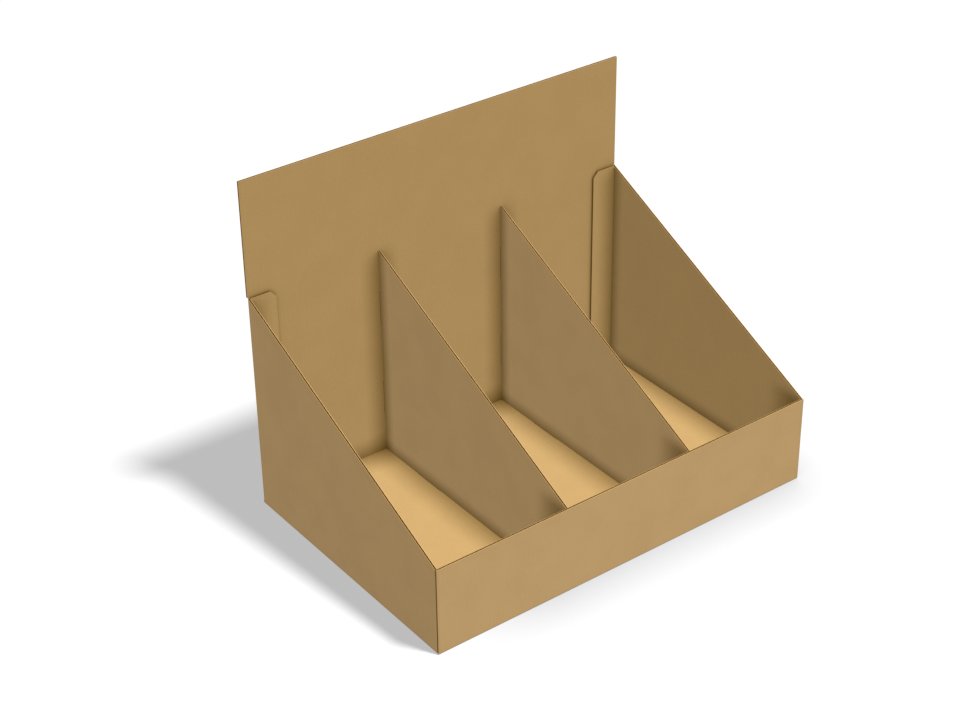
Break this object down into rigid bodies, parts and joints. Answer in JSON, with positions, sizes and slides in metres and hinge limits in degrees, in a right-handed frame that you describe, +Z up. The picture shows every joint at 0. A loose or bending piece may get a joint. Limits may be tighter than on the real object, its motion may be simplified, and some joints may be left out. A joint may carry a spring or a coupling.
{
  "type": "cardboard display stand",
  "caption": "Folded kraft cardboard counter display tray with a low front lip, sloping sides, a tall back panel and upright dividers that form open bays.",
  "frame": {"origin": "middle of the underside of the tray, on the surface that it stands on", "axes": "+Z up, +X along the width to the right as seen from the front, -Y towards the customer's side with the low lip"},
  "size_m": [0.3, 0.2, 0.24],
  "materials": {
    "kraft_board": "matt brown kraft liner over a fine flute, raw cut edges"
  },
  "bodies": {
    "root": {"tray": "kraft_board", "divider_left": "kraft_board", "divider_right": "kraft_board"}
  },
  "joints": []
}
